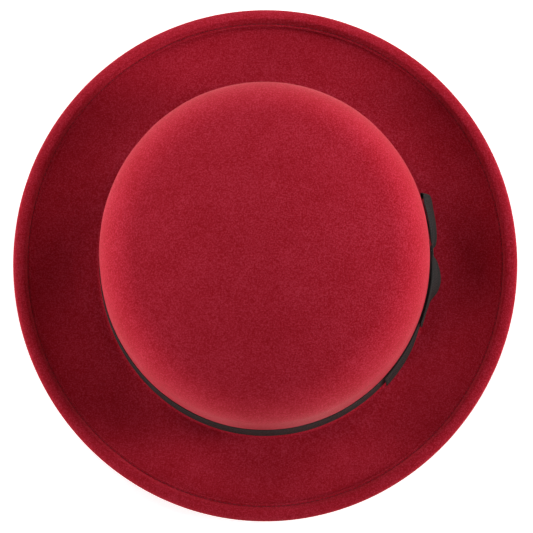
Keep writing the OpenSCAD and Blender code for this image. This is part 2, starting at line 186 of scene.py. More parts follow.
def hem_at(out, up, az):
    """A point of the hem: out is the distance along the brim from the middle of the fold."""
    return brim_at(hem_r(az) + out * np.cos(slope(BRIM_RX - FOLD_R, az)), up - fall(out), az)


def web_at(part, up, az):
    """A point of the brim, part of the way from the corner at the wall to the hem's raw end."""
    edge = hem_r(az) + RAW_IN * np.cos(slope(BRIM_RX - FOLD_R, az))
    return brim_at(BREAK_X + part * (edge - BREAK_X), up, az)


def tip_at(inset, turn, az):
    """A point of the crown's top; turn is its angle up from level, at the centre of its curve."""
    r = TIP_R - inset
    return on_curve(r * math.cos(turn), CROWN_H - TIP_R + r * math.sin(turn), az)


def shoulder_at(inset, turn, az):
    """A point of the rounded shoulder between the wall and the top."""
    r = SHOULDER_R - inset
    return on_curve(SHOULDER_X + r * math.cos(turn), SHOULDER_Z + r * math.sin(turn), az)


def round_the_hat(count):
    """Azimuths at equal steps."""
    return np.linspace(0, 2 * math.pi, count, endpoint=False)


# ---------------------------------------------------------------- meshes
def new_object(name, points, faces, uvs=None, smooth=True):
    """A mesh object; uvs has one pair of numbers for each corner of each face, in order."""
    mesh = bpy.data.meshes.new(name)
    mesh.from_pydata([tuple(p) for p in points], [], faces)
    if uvs is not None:
        layer = mesh.uv_layers.new(name="metres")
        layer.data.foreach_set("uv", np.asarray(uvs, np.float32).ravel())
    if smooth:
        mesh.shade_smooth()
    mesh.validate()
    piece = bpy.data.objects.new(name, mesh)
    bpy.context.scene.collection.objects.link(piece)
    return piece


def grid_faces(rows, columns, wrap_rows=False, wrap_columns=True):
    """Faces of a grid of points, rows by columns."""
    faces = []
    for i in range(rows if wrap_rows else rows - 1):
        for j in range(columns if wrap_columns else columns - 1):
            i1, j1 = (i + 1) % rows, (j + 1) % columns
            faces.append((i * columns + j, i * columns + j1, i1 * columns + j1, i1 * columns + j))
    return faces


def dome(name, rings, top, underneath):
    """A closed shell from its outer pole, over rings of points, to its inner pole."""
    count = len(rings[0])
    points = np.concatenate([[top], *rings, [underneath]])
    faces = [tuple(k + 1 for k in f) for f in grid_faces(len(rings), count)]
    last = len(points) - 1
    for j in range(count):
        j1 = (j + 1) % count
        faces.append((0, 1 + j1, 1 + j))
        faces.append((last, last - count + j, last - count + j1))
    return new_object(name, points, faces)


def ring_piece(name, profile, count=360):
    """A closed ring round the crown from a loop of [r, z], with the way round and up as its UVs."""
    az = round_the_hat(count)
    rows = np.stack([on_curve(r, z, az) for r, z in profile])
    faces = grid_faces(len(profile), count, wrap_rows=True)
    girth = 2 * math.pi * (profile[0][0] + CROWN_EXTRA / 2)
    uvs = []
    for i in range(len(profile)):
        i1 = (i + 1) % len(profile)
        for j in range(count):
            u0, u1 = girth * j / count, girth * (j + 1) / count
            uvs += [(u0, profile[i][1]), (u1, profile[i][1]), (u1, profile[i1][1]), (u0, profile[i1][1])]
    return new_object(name, rows.reshape(-1, 3), faces, uvs)


def ribbon_profile(inner, outer, z0, z1, steps=14, edge_steps=4, leaning=wall_r):
    """The loop of [r, z] of a ribbon on the crown wall, its edges rounded."""
    half = (outer - inner) / 2
    middle = (outer + inner) / 2
    loop = []
    for z in np.linspace(z1 - half, z0 + half, steps):
        loop.append((leaning(-middle - half, z), z))
    for turn in np.linspace(0, math.pi, edge_steps + 2)[1:-1]:
        z = z0 + half - half * math.sin(turn)
        loop.append((leaning(-middle - half * math.cos(turn), z), z))
    for z in np.linspace(z0 + half, z1 - half, steps):
        loop.append((leaning(-middle + half, z), z))
    for turn in np.linspace(0, math.pi, edge_steps + 2)[1:-1]:
        z = z1 - half + half * math.sin(turn)
        loop.append((leaning(-middle + half * math.cos(turn), z), z))
    return loop


# ---------------------------------------------------------------- the felt
def waver(points):
    """The slight unevenness of blocked felt, from about -2 to 2, the same on both of its sides."""
    x, y, z = points[..., 0], points[..., 1], points[..., 2]
    return (
        np.sin(x * 61 + 1.3) * np.sin(y * 47 + 0.4)
        + 0.6 * np.sin(x * 113 - y * 89 + 2.1)
        + 0.4 * np.sin((x + y) * 171 + z * 90)
    )


def felt_rings(az):
    """Rings of points over the felt, from the middle of the top round the hem to the inside's middle."""
    rings = [tip_at(0, t, az) for t in np.linspace(math.pi / 2 - 0.01, TIP_FROM, 22)]
    rings += [shoulder_at(0, t, az) for t in np.linspace(TIP_FROM, WALL_LEAN, 26)[1:]]
    wall_top = SHOULDER_Z + SHOULDER_R * math.sin(WALL_LEAN)
    rings += [on_curve(wall_r(0, z), z, az) for z in np.linspace(wall_top, CORNER_Z, 16)[1:]]

    def corner(radius, turns):
        return [
            on_curve(BREAK_X - radius * math.cos(t), CORNER_Z - radius * math.sin(t), az)
            for t in turns
        ]

    rings += corner(BREAK_R, np.radians([22, 45, 68]))
    web_parts = np.concatenate([np.linspace(0, 0.9, 28), [0.95, 0.98]])
    rings += [web_at(part, FELT_T, az) for part in web_parts]
    rings += [hem_at(out, up, az) for out, up in hem_profile()]
    rings += [web_at(part, 0, az) for part in web_parts[::-1]]
    rings += corner(BREAK_R + FELT_T, np.radians([80, 60, 40, 20]))
    inner_top = SHOULDER_Z + (SHOULDER_R - FELT_T) * math.sin(WALL_LEAN)
    rings += [on_curve(wall_r(FELT_T, z), z, az) for z in np.linspace(CORNER_Z, inner_top, 10)]
    rings += [shoulder_at(FELT_T, t, az) for t in np.linspace(WALL_LEAN, TIP_FROM, 14)[1:]]
    rings += [tip_at(FELT_T, t, az) for t in np.linspace(TIP_FROM, math.pi / 2 - 0.02, 10)[1:]]
    return rings


def hem_profile():
    """The folded hem's outline as [out along the brim, up from its underside]."""
    tunnel = [
        (TUNNEL_D / 2 * math.cos(t), FOLD_R + TUNNEL_D / 2 * math.sin(t))
        for t in np.linspace(-math.pi / 2, math.pi / 2, 9)
    ]
    inner_side = [(x, FELT_T) for x in np.linspace(RAW_IN, -0.6 * MM, 8)]
    tunnel_top = FOLD_R + TUNNEL_D / 2
    flap_bottom = FELT_T + FOLD_GAP
    flap_under = [
        (part * STITCH_IN, tunnel_top + part * (flap_bottom - tunnel_top)) for part in (0.3, 0.65, 1)
    ]
    raw_end = [
        (RAW_IN + 0.1 * MM, flap_bottom),
        (RAW_IN, flap_bottom + 0.1 * MM),
        (RAW_IN, STITCH_TOP - 0.1 * MM),
        (RAW_IN + 0.12 * MM, STITCH_TOP + 0.04 * MM),
        (RAW_IN + 0.35 * MM, STITCH_TOP + 0.12 * MM),
        (RAW_IN + 0.7 * MM, STITCH_TOP + 0.08 * MM),
    ]
    groove = [
        (STITCH_IN - 0.45 * MM, STITCH_TOP + 0.02 * MM),
        (STITCH_IN - 0.22 * MM, STITCH_TOP - 0.05 * MM),
        (STITCH_IN, STITCH_TOP - 0.08 * MM),
        (STITCH_IN + 0.25 * MM, STITCH_TOP - 0.04 * MM),
    ]
    rise_from = STITCH_IN + 0.35 * MM
    rise = []
    for t in np.linspace(0, 1, 12)[1:]:
        part = math.sin(t * math.pi / 2) ** 1.25
        x = rise_from + t * (CREST_IN - rise_from)
        rise.append((x, STITCH_TOP + part * (CREST_TOP - STITCH_TOP)))
    over = [
        (CREST_IN + CREST_W * math.cos(t), FOLD_R + (CREST_TOP - FOLD_R) * math.sin(t))
        for t in np.linspace(math.pi / 2, 0, 17)[1:]
    ]
    below = [
        (FOLD_R * math.cos(t), FOLD_R + FOLD_R * math.sin(t))
        for t in np.linspace(0, -math.pi / 2, 11)[1:]
    ]
    under = [(x, 0) for x in np.linspace(-1 * MM, RAW_IN + 0.5 * MM, 9)]
    return [*inner_side, *tunnel, *flap_under, *raw_end, *groove, *rise, *over, *below, *under]


def make_felt():
    """The crown and brim, slightly uneven except where they stand."""
    az = round_the_hat(360)
    rings = felt_rings(az)
    piece = dome("felt_hat", rings, (0, 0, CROWN_H), (0, 0, CROWN_H - FELT_T))
    points = np.array([v.co for v in piece.data.vertices])
    height = np.clip((points[:, 2] - 0.004) / 0.02, 0, 1)
    swell = waver(points) * 0.09 * MM * height
    outwards = np.stack([points[:, 0], points[:, 1], (points[:, 2] - 0.03) * 1.5], axis=-1)
    outwards /= np.maximum(1e-6, np.linalg.norm(outwards, axis=1))[:, None]
    moved = points + outwards * swell[:, None]
    piece.data.vertices.foreach_set("co", moved.astype(np.float32).ravel())
    piece.data.update()
    return piece


# ---------------------------------------------------------------- threads
def tubes(name, lines, radius, sides=6):
    """One object of round threads, each along its own line of points, with rounded-off ends."""
    points, faces = [], []
    turns = np.linspace(0, 2 * math.pi, sides, endpoint=False)
    for line in lines:
        line = np.asarray(line, float)
        along = np.gradient(line, axis=0)
        along /= np.linalg.norm(along, axis=1)[:, None]
        first = np.cross(along, [0, 0, 1.0])
        flat = np.linalg.norm(first, axis=1) < 0.2
        first[flat] = np.cross(along[flat], [0, 1.0, 0])
        first /= np.linalg.norm(first, axis=1)[:, None]
        second = np.cross(first, along)
        base = len(points)
        for k, centre in enumerate(line):
            size = radius * (0.55 if k in (0, len(line) - 1) else 1)
            for t in turns:
                points.append(centre + size * (math.cos(t) * first[k] + math.sin(t) * second[k]))
        for i in range(len(line) - 1):
            for j in range(sides):
                j1 = (j + 1) % sides
                a, b = base + i * sides, base + (i + 1) * sides
                faces.append((a + j, b + j, b + j1, a + j1))
        faces.append(tuple(base + j for j in range(sides)))
        faces.append(tuple(base + (len(line) - 1) * sides + j for j in reversed(range(sides))))
    return new_object(name, points, faces)


def hem_stitches(name, up, dip):
    """Machine stitches round the hem: each comes up, lies on the felt and goes down again."""
    stitch, lying = 3.0 * MM, 0.84
    girth = math.pi * (BRIM_W + BRIM_L) / 2
    count = round(girth / stitch)
    lines = []
    for k in range(count):
        middle = 2 * math.pi * (k + 0.5) / count
        half = math.pi / count * lying
        parts = np.linspace(-1, 1, 9)
        az = middle + half * parts
        heights = up - dip * np.abs(parts) ** 4
        lines.append(np.stack([hem_at(STITCH_IN, h, a) for h, a in zip(heights, az)]))
    return tubes(name, lines, THREAD_R)


# ---------------------------------------------------------------- ribbon pieces
BAND_Z = CORNER_Z
BAND_TOP = BAND_Z + RIBBON_W
BAND_MID = BAND_Z + RIBBON_W / 2
BAND_OFF = LAY_GAP + RIBBON_T / 2
KNOT_BACK_OFF = BAND_OFF + RIBBON_T + LAY_GAP
INNER_LEAF_OFF = KNOT_BACK_OFF + RIBBON_T + LAY_GAP
OUTER_LEAF_OFF = INNER_LEAF_OFF + RIBBON_T + LAY_GAP
KNOT_FRONT_OFF = OUTER_LEAF_OFF + RIBBON_T + LAY_GAP
ALONG_TURN = 1 / (CROWN_RX + oval(CROWN_RX) / 4)


def band_at(along, out, z):
    """A point by the bow: along the band from the knot, out from the felt, and up."""
    return on_curve(wall_r(0, z) + out, z, KNOT_AZ + np.asarray(along) * ALONG_TURN)


def ribbon_piece(name, along, out, z, thickness=RIBBON_T):
    """A ribbon from grids of along, out and z: rows go along the ribbon and columns across it."""
    rows, columns = along.shape
    middle = band_at(along, out, z)
    run = np.gradient(middle, axis=0)
    across = np.gradient(middle, axis=1)
    normal = np.cross(run, across)
    normal /= np.linalg.norm(normal, axis=2)[:, :, None]
    thin = np.ones(columns)
    thin[[0, -1]] = 0.45
    half = normal * (thickness / 2 * thin)[None, :, None]
    front, back = middle + half, middle - half
    points = np.concatenate([front.reshape(-1, 3), back.reshape(-1, 3)])
    steps = np.linalg.norm(np.diff(middle, axis=0), axis=2).mean(1)
    lengths = np.concatenate([[0], np.cumsum(steps)])
    widths = np.linspace(0, RIBBON_W, columns)
    size = rows * columns
    faces, uvs = [], []

    def add(*corners):
        faces.append(tuple(c[0] * columns + c[1] + size * c[2] for c in corners))
        uvs.extend((lengths[c[0]], widths[c[1]]) for c in corners)

    for i in range(rows - 1):
        for j in range(columns - 1):
            add((i, j, 0), (i + 1, j, 0), (i + 1, j + 1, 0), (i, j + 1, 0))
            add((i, j, 1), (i, j + 1, 1), (i + 1, j + 1, 1), (i + 1, j, 1))
        add((i, 0, 0), (i, 0, 1), (i + 1, 0, 1), (i + 1, 0, 0))
        last = columns - 1
        add((i, last, 0), (i + 1, last, 0), (i + 1, last, 1), (i, last, 1))
    for j in range(columns - 1):
        add((0, j, 0), (0, j + 1, 0), (0, j + 1, 1), (0, j, 1))
        last = rows - 1
        add((last, j, 0), (last, j, 1), (last, j + 1, 1), (last, j + 1, 0))
    return new_object(name, points, faces, uvs)


def smooth_step(t):
    """From 0 to 1 with level ends."""
    t = np.clip(t, 0, 1)
    return t * t * (3 - 2 * t)


def leaf_edges(part):
    """The lower and upper edge of a loop's leaf, that part of the way from the knot to the fold."""
    spread = PINCH_H / 2 + smooth_step(part / 0.45) * (RIBBON_W - PINCH_H) / 2
    return BAND_MID - spread, BAND_MID + spread


def loop_ribbon(name, way, length, bulge, low_shape, high_shape):
    """A flat loop of the bow: one leaf out along the band, a fold, and one back over a bulge."""
    columns = 17
    shapes = {False: np.array(low_shape, float), True: np.array(high_shape, float)}
    fold_at = 0.95

    def out_at(part, high):
        return OUTER_LEAF_OFF + bulge * smooth_lookup(part, shapes[high])

    stations = []
    for part in np.linspace(0, fold_at, 34):
        stations.append((part, INNER_LEAF_OFF, INNER_LEAF_OFF, part, 0))
    for turn in np.linspace(0, math.pi, 12)[1:-1]:
        swing = (1 - math.cos(turn)) / 2
        low = INNER_LEAF_OFF + (out_at(1, False) - INNER_LEAF_OFF) * swing
        high = INNER_LEAF_OFF + (out_at(1, True) - INNER_LEAF_OFF) * swing
        stations.append((fold_at + (1 - fold_at) * math.sin(turn), low, high, 1, 1))
    for part in np.linspace(fold_at, 0, 34):
        stations.append((part, out_at(part, False), out_at(part, True), part, 1))
    stations = [(-0.09, *stations[0][1:4], 0), *stations, (-0.09, *stations[-1][1:4], 1)]
    rows = len(stations)
    up = np.linspace(0, 1, columns)
    along, out, z = (np.empty((rows, columns)) for _ in range(3))
    for i, (part, low_out, high_out, opened, outer) in enumerate(stations):
        low, high = leaf_edges(max(0, opened))
        along[i] = way * (KNOT_W / 2 + part * (length - KNOT_W / 2))
        z[i] = low + (high - low) * up
        pleat = 0.35 * MM * np.cos(up * math.pi * 5) * (1 - smooth_step(opened / 0.6)) * outer
        belly = BELLY * (low_out - high_out) * up * (1 - up) * 4
        out[i] = low_out + (high_out - low_out) * up + pleat * smooth_step(opened / 0.1) + belly
    return ribbon_piece(name, along, out, z)


def smooth_lookup(part, knots):
    """The value at part of a smooth curve through the knots."""
    xs, ys = knots[:, 0], knots[:, 1]
    i = int(np.clip(np.searchsorted(xs, part) - 1, 0, len(xs) - 2))
    slopes = np.gradient(ys, xs)
    h = xs[i + 1] - xs[i]
    t = (part - xs[i]) / h
    return (
        (2 * t**3 - 3 * t**2 + 1) * ys[i]
        + (t**3 - 2 * t**2 + t) * h * slopes[i]
        + (3 * t**2 - 2 * t**3) * ys[i + 1]
        + (t**3 - t**2) * h * slopes[i + 1]
    )


# Each list gives [part of the way from the knot to the fold, part of the bulge]
FRONT_LOW = [
    (0, 0), (0.03, 0.2), (0.13, 0.62), (0.22, 0.84), (0.34, 0.97),
    (0.47, 0.75), (0.6, 0.2), (0.72, 0.06), (1, 0.06),
]
FRONT_HIGH = [(0, 0), (0.34, 0.02), (0.6, 0.01), (1, 0.05)]
REAR_LOW = [
    (0, 0), (0.04, 0.22), (0.15, 0.46), (0.3, 0.62),
    (0.5, 0.74), (0.73, 0.84), (0.9, 0.98), (1, 1),
]
REAR_HIGH = [(0, 0), (0.3, 0.01), (0.6, 0.02), (0.85, 0.08), (1, 0.26)]
# The tail lies on the band up to TAIL_FREE of its length, and at its end its upper edge stands off
# TAIL_HIGH as far as its lower edge
TAIL_FREE, TAIL_HIGH = 0.55, 0.2
# How far the outer leaf's middle bulges past the line between its edges, as a part of their difference
BELLY = 0.3


def tail_ribbon():
    """The end of the ribbon, which lies on the band and then stands off it along its lower edge."""
    rows, columns = 60, 15
    part = np.linspace(0, 1, rows)[:, None] * np.ones((1, columns))
    up = np.ones((rows, 1)) * np.linspace(0, 1, columns)[None, :]
    free = np.clip((part - TAIL_FREE) / (1 - TAIL_FREE), 0, 1)
    low_stand = 1 - (1 - free) ** 3
    high_stand = TAIL_HIGH * free**3
    out = KNOT_BACK_OFF + TAIL_STAND * (low_stand + (high_stand - low_stand) * up**1.5)
    along = -(KNOT_W / 2 + LAY_GAP + part * TAIL_L)
    return ribbon_piece("tail", along, out, BAND_Z + up * RIBBON_W)


def knot_wrap():
    """The wrap round the bow's middle: a rounded flat tube, a little wider at its ends."""
    rows, columns = 13, 64
    low, high = BAND_MID - PINCH_H / 2 - LAY_GAP, BAND_MID + PINCH_H / 2 + LAY_GAP
    inner, outer = KNOT_BACK_OFF, KNOT_FRONT_OFF
    turns = np.linspace(0, 2 * math.pi, columns, endpoint=False)
    along, out, z = (np.empty((2 * rows, columns)) for _ in range(3))
    for side, grow in ((0, RIBBON_T / 2), (1, -RIBBON_T / 2)):
        for i in range(rows):
            x = np.linspace(-1, 1, rows)[i] * (1 if side == 0 else -1)
            half_out = (outer - inner) / 2 + grow + (0.15 * MM * (1 - x * x) if side == 0 else 0)
            half_z = (high - low) / 2 + grow
            c, s = np.cos(turns), np.sin(turns)
            square = (np.abs(c) ** 6 + np.abs(s) ** 6) ** (-1 / 6)
            row = i if side == 0 else rows + i
            along[row] = x * KNOT_W / 2
            out[row] = (inner + outer) / 2 + half_out * c * square
            z[row] = BAND_MID + half_z * s * square
    points = band_at(along, out, z).reshape(-1, 3)
    faces = grid_faces(2 * rows, columns, wrap_rows=True)
    uvs = []
    for i in range(2 * rows):
        for j in range(columns):
            v0, v1 = (i % rows) / rows * KNOT_W, ((i + 1) % rows) / rows * KNOT_W
            u0, u1 = j * 0.5 * MM, (j + 1) * 0.5 * MM
            uvs += [(u0, v0), (u1, v0), (u1, v1), (u0, v1)]
    return new_object("bow_knot_wrap", points, faces, uvs)


# ---------------------------------------------------------------- materials
WEFT_PITCH = 0.35 * MM    # of the ribbons' fine weave, along the ribs


def material(name, base, roughness, sheen=0.0, sheen_tint=(1, 1, 1), sheen_roughness=0.5, specular=0.3):
    """A principled material, and a helper that adds and links its nodes."""
    made = bpy.data.materials.new(name)
    made.use_nodes = True
    nodes, links = made.node_tree.nodes, made.node_tree.links
    shader = nodes["Principled BSDF"]
    shader.inputs["Base Color"].default_value = (*base, 1)
    shader.inputs["Roughness"].default_value = roughness
    shader.inputs["Specular IOR Level"].default_value = specular
    shader.inputs["Sheen Weight"].default_value = sheen
    shader.inputs["Sheen Tint"].default_value = (*sheen_tint, 1)
    shader.inputs["Sheen Roughness"].default_value = sheen_roughness

    def add(kind, inputs=None, **settings):
        node = nodes.new(kind)
        for key, value in settings.items():
            setattr(node, key, value)
        for key, value in (inputs or {}).items():
            if isinstance(value, bpy.types.NodeSocket):
                links.new(value, node.inputs[key])
            else:
                node.inputs[key].default_value = value
        return node

    return made, shader, add, links


def ramp(add, value, stops):
    """A colour ramp through stops of (place, colour)."""
    node = add("ShaderNodeValToRGB", {"Fac": value})
    elements = node.color_ramp.elements
    while len(elements) < len(stops):
        elements.new(0.5)
    for element, (place, colour) in zip(elements, stops):
        element.position = place
        element.color = (*colour, 1)
    return node.outputs["Color"]


def felt_material():
    """Wool felt: matted fibres with a soft nap, so its colour is mottled and its edges catch light; the
    mottle is partly the felt's own uneven tone and partly painted fibre highlights.
    """
    base = (0.335, 0.0085, 0.0205)
    made, shader, add, links = material("wool_felt", base, 0.95, 0.1, (1.0, 0.72, 0.66), 0.45, 0.15)
    where = add("ShaderNodeTexCoord").outputs["Object"]
    mottle = add("ShaderNodeTexNoise", {"Vector": where, "Scale": 1150, "Detail": 1.5, "Roughness": 0.6})
    fibres = add("ShaderNodeTexNoise", {"Vector": where, "Scale": 2600, "Detail": 2, "Roughness": 0.7})
    cloud = add("ShaderNodeTexNoise", {"Vector": where, "Scale": 55, "Detail": 3, "Roughness": 0.55})
    wander = add("ShaderNodeMix", {"Factor": 0.4, "A": mottle.outputs["Fac"], "B": fibres.outputs["Fac"]})
    clouded = {"Factor": 0.12, "A": wander.outputs["Result"], "B": cloud.outputs["Fac"]}
    spread = add("ShaderNodeMix", clouded)
    # Painted highlight: green and blue rise far more than red towards the ramp's light end, which paints
    # whitish fibre sheen into the base colour over the felt's own uneven tone.
    colour = ramp(add, spread.outputs["Result"], [
        (0.4, (0.311, 0.0011, 0.0072)),
        (0.5, (0.379, 0.0062, 0.0211)),
        (0.6, (0.471, 0.0213, 0.0473)),
    ])
    links.new(colour, shader.inputs["Base Color"])
    bump = add("ShaderNodeBump", {"Strength": 0.5, "Distance": 0.0004, "Height": mottle.outputs["Fac"]})
    fine = add("ShaderNodeBump", {
        "Strength": 0.35,
        "Distance": 0.0002,
        "Height": fibres.outputs["Fac"],
        "Normal": bump.outputs["Normal"],
    })
    links.new(fine.outputs["Normal"], shader.inputs["Normal"])
    return made


def ribbon_material(name, dark, light, rib=0.9 * MM):
    """Grosgrain: close ribs across the ribbon, with a fine weave along them."""
    made, shader, add, links = material(name, light, 0.7, 0.05, (1.0, 0.95, 0.9), 0.4, 0.2)
    where = add("ShaderNodeUVMap", uv_map="metres").outputs["UV"]
    apart = add("ShaderNodeSeparateXYZ", {"Vector": where})
    turns = add("ShaderNodeMath", {0: apart.outputs["X"], 1: 2 * math.pi / rib}, operation="MULTIPLY")
    ribs = add("ShaderNodeMath", {0: turns.outputs["Value"]}, operation="SINE")
    thread_turns = {0: apart.outputs["Y"], 1: 2 * math.pi / WEFT_PITCH}
    threads = add("ShaderNodeMath", thread_turns, operation="MULTIPLY")
    weft = add("ShaderNodeMath", {0: threads.outputs["Value"]}, operation="SINE")
    weave = {0: weft.outputs["Value"], 1: 0.25, 2: ribs.outputs["Value"]}
    mixed = add("ShaderNodeMath", weave, operation="MULTIPLY_ADD")
    position = add("ShaderNodeTexCoord").outputs["Object"]
    slub = add("ShaderNodeTexNoise", {"Vector": position, "Scale": 900, "Detail": 2, "Roughness": 0.6})
    slubbed = {0: slub.outputs["Fac"], 1: 0.6, 2: mixed.outputs["Value"]}
    height = add("ShaderNodeMath", slubbed, operation="MULTIPLY_ADD")
    level = add("ShaderNodeMapRange", {"Value": height.outputs["Value"], "From Min": -1.0, "From Max": 1.6})
    colour = ramp(add, level.outputs["Result"], [(0.1, dark), (0.9, light)])
    links.new(colour, shader.inputs["Base Color"])
    bump = add("ShaderNodeBump", {"Strength": 0.6, "Distance": 0.0002, "Height": height.outputs["Value"]})
    links.new(bump.outputs["Normal"], shader.inputs["Normal"])
    return made


def thread_material(name, dark, light):
    """Twisted sewing thread."""
    made, shader, add, links = material(name, light, 0.6, 0.0, (1, 1, 1), 0.4, 0.2)
    where = add("ShaderNodeTexCoord").outputs["Object"]
    ply = add("ShaderNodeTexNoise", {"Vector": where, "Scale": 2600, "Detail": 2, "Roughness": 0.6})
    colour = ramp(add, ply.outputs["Fac"], [(0.35, dark), (0.65, light)])
    links.new(colour, shader.inputs["Base Color"])
    bump = add("ShaderNodeBump", {"Strength": 0.5, "Distance": 0.0001, "Height": ply.outputs["Fac"]})
    links.new(bump.outputs["Normal"], shader.inputs["Normal"])
    return made


def satin_material():
    """Satin lining: smooth, with a fine warp and a soft gloss."""
    made, shader, add, links = material("satin", (0.2, 0.008, 0.02), 0.34, 0.3, (1, 0.6, 0.6), 0.3, 0.5)
    where = add("ShaderNodeTexCoord").outputs["Object"]
    stretch = add("ShaderNodeMapping", {"Vector": where, "Scale": (3000, 3000, 250)})
    warp = add("ShaderNodeTexNoise", {"Vector": stretch.outputs["Vector"], "Scale": 1, "Detail": 2})
    rumple = add("ShaderNodeTexNoise", {"Vector": where, "Scale": 34, "Detail": 3, "Roughness": 0.55})
    colour = ramp(add, warp.outputs["Fac"], [(0.35, (0.16, 0.005, 0.014)), (0.65, (0.24, 0.011, 0.026))])
    links.new(colour, shader.inputs["Base Color"])
    soft = add("ShaderNodeBump", {"Strength": 0.5, "Distance": 0.004, "Height": rumple.outputs["Fac"]})
    fine = add("ShaderNodeBump", {
        "Strength": 0.2,
        "Distance": 0.0001,
        "Height": warp.outputs["Fac"],
        "Normal": soft.outputs["Normal"],
    })
    links.new(fine.outputs["Normal"], shader.inputs["Normal"])
    return made


def tape_material():
    """Woven cotton tape for the blank label."""
    made, shader, add, links = material("woven_tape", (0.75, 0.72, 0.66), 0.8, 0.2)
    where = add("ShaderNodeTexCoord").outputs["Object"]
    warp = add("ShaderNodeTexWave", {"Vector": where, "Scale": 900, "Distortion": 0.6}, bands_direction="Y")
    weft = add("ShaderNodeTexWave", {"Vector": where, "Scale": 900, "Distortion": 0.6}, bands_direction="Z")
    weave = add("ShaderNodeMath", {0: warp.outputs["Fac"], 1: weft.outputs["Fac"]}, operation="MULTIPLY")
    colour = ramp(add, weave.outputs["Value"], [(0.0, (0.6, 0.57, 0.5)), (0.8, (0.8, 0.77, 0.71))])
    links.new(colour, shader.inputs["Base Color"])
    bump = add("ShaderNodeBump", {"Strength": 0.5, "Distance": 0.0001, "Height": weave.outputs["Value"]})
    links.new(bump.outputs["Normal"], shader.inputs["Normal"])
    return made


def metal_material(name, dark, light, roughness):
    """Drawn wire or sleeve: metal with fine marks along it."""
    made, shader, add, links = material(name, light, roughness)
    shader.inputs["Metallic"].default_value = 1
    where = add("ShaderNodeTexCoord").outputs["Object"]
    marks = add("ShaderNodeTexNoise", {"Vector": where, "Scale": 1500, "Detail": 3, "Roughness": 0.7})
    colour = ramp(add, marks.outputs["Fac"], [(0.35, dark), (0.65, light)])
    links.new(colour, shader.inputs["Base Color"])
    bump = add("ShaderNodeBump", {"Strength": 0.2, "Distance": 0.00005, "Height": marks.outputs["Fac"]})
    links.new(bump.outputs["Normal"], shader.inputs["Normal"])
    return made


FELT = felt_material()
RIBBON = ribbon_material("grosgrain", (0.0042, 0.0036, 0.0035), (0.0135, 0.0117, 0.011))
SWEAT_RIBBON = ribbon_material(
    "sweatband_grosgrain", (0.014, 0.012, 0.012), (0.038, 0.034, 0.033), rib=1.4 * MM
)
RED_THREAD = thread_material("red_thread", (0.15, 0.004, 0.010), (0.29, 0.009, 0.020))
BLACK_THREAD = thread_material("black_thread", (0.008, 0.008, 0.008), (0.03, 0.03, 0.03))
SATIN = satin_material()
TAPE = tape_material()
STEEL = metal_material("drawn_steel", (0.45, 0.45, 0.46), (0.68, 0.68, 0.69), 0.35)
BRASS = metal_material("drawn_brass", (0.55, 0.38, 0.14), (0.76, 0.57, 0.27), 0.35)


def dress(piece, look, slot, *nodes, body="hat"):
    """Gives a piece its material, hides the CAD nodes that it stands for, and hangs it on the body that it
    rides on.
    """
    piece.data.materials.clear()
    piece.data.materials.append(look)
    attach(piece, body)
    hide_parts(*nodes)
    return piece


# ---------------------------------------------------------------- the object
def make_felt_and_hem():
    dress(make_felt(), FELT, "felt", "felt_body")
    top = hem_stitches("hem_stitches_top", STITCH_TOP - 0.16 * MM + THREAD_R * 0.6, 0.5 * MM)
    dress(top, RED_THREAD, "red_thread", "hem_needle_thread")
    under = hem_stitches("hem_stitches_under", -THREAD_R * 0.6, -0.4 * MM)
    dress(under, RED_THREAD, "red_thread", "hem_bobbin_thread")


def make_band():
    band_half = RIBBON_T / 2
    profile = ribbon_profile(BAND_OFF - band_half, BAND_OFF + band_half, BAND_Z, BAND_TOP)
    band = dress(ring_piece("ribbon_band", profile), RIBBON, "ribbon", "hatband")


def make_bow():
    front = loop_ribbon("bow_front", -1, FRONT_LOOP_L, FRONT_BULGE, FRONT_LOW, FRONT_HIGH)
    dress(front, RIBBON, "ribbon", "bow_front_loop")
    rear = loop_ribbon("bow_rear", 1, REAR_LOOP_L, REAR_BULGE, REAR_LOW, REAR_HIGH)
    dress(rear, RIBBON, "ribbon", "bow_rear_loop")
    dress(knot_wrap(), RIBBON, "ribbon", "bow_knot")
    tail = dress(tail_ribbon(), RIBBON, "ribbon", "ribbon_tail")
    dress(tack_stitches(), BLACK_THREAD, "black_thread", "hatband_tacks")
    dress(knot_stitches(), BLACK_THREAD, "black_thread", "bow_knot_tacks")


# The band's tacks go round the back, from one side of the bow to the other
TACKS = 7
TACKS_FROM, TACKS_TO = math.radians(36), math.radians(290)


def tack_stitches():
    """Small slanted stitches over the band's upper edge."""
    lines = []
    off = BAND_OFF + RIBBON_T / 2 + THREAD_R * 0.6
    for k in range(TACKS):
        az = KNOT_AZ + TACKS_FROM + (TACKS_TO - TACKS_FROM) * k / (TACKS - 1)
        heights = np.linspace(BAND_TOP - 2.1 * MM, BAND_TOP + 0.9 * MM, 7)
        parts = np.linspace(-1, 1, 7)
        outs = off - 0.5 * MM * parts**4 - 0.25 * MM * (parts > 0.5)
        line = [on_curve(wall_r(0, z) + o, z, az + 0.006 * p) for z, o, p in zip(heights, outs, parts)]
        lines.append(line)
    return tubes("band_tacks", lines, THREAD_R * 0.8)


def knot_stitches():
    """Two stitches above the knot and two below, which hold it to the band."""
    lines = []
    for way in (-1, 1):
        for x in (-KNOT_W / 4, KNOT_W / 4):
            start = BAND_MID + way * (PINCH_H / 2 + LAY_GAP + RIBBON_T + 0.1 * MM)
            heights = start + way * np.linspace(0, 1.7 * MM, 6)
            outs = KNOT_BACK_OFF + np.array([0.2, 0.3, 0.25, 0.2, 0.1, -0.1]) * MM
            lines.append([band_at(x, o, z) for z, o in zip(heights, outs)])
    return tubes("knot_tacks", lines, THREAD_R * 0.8)


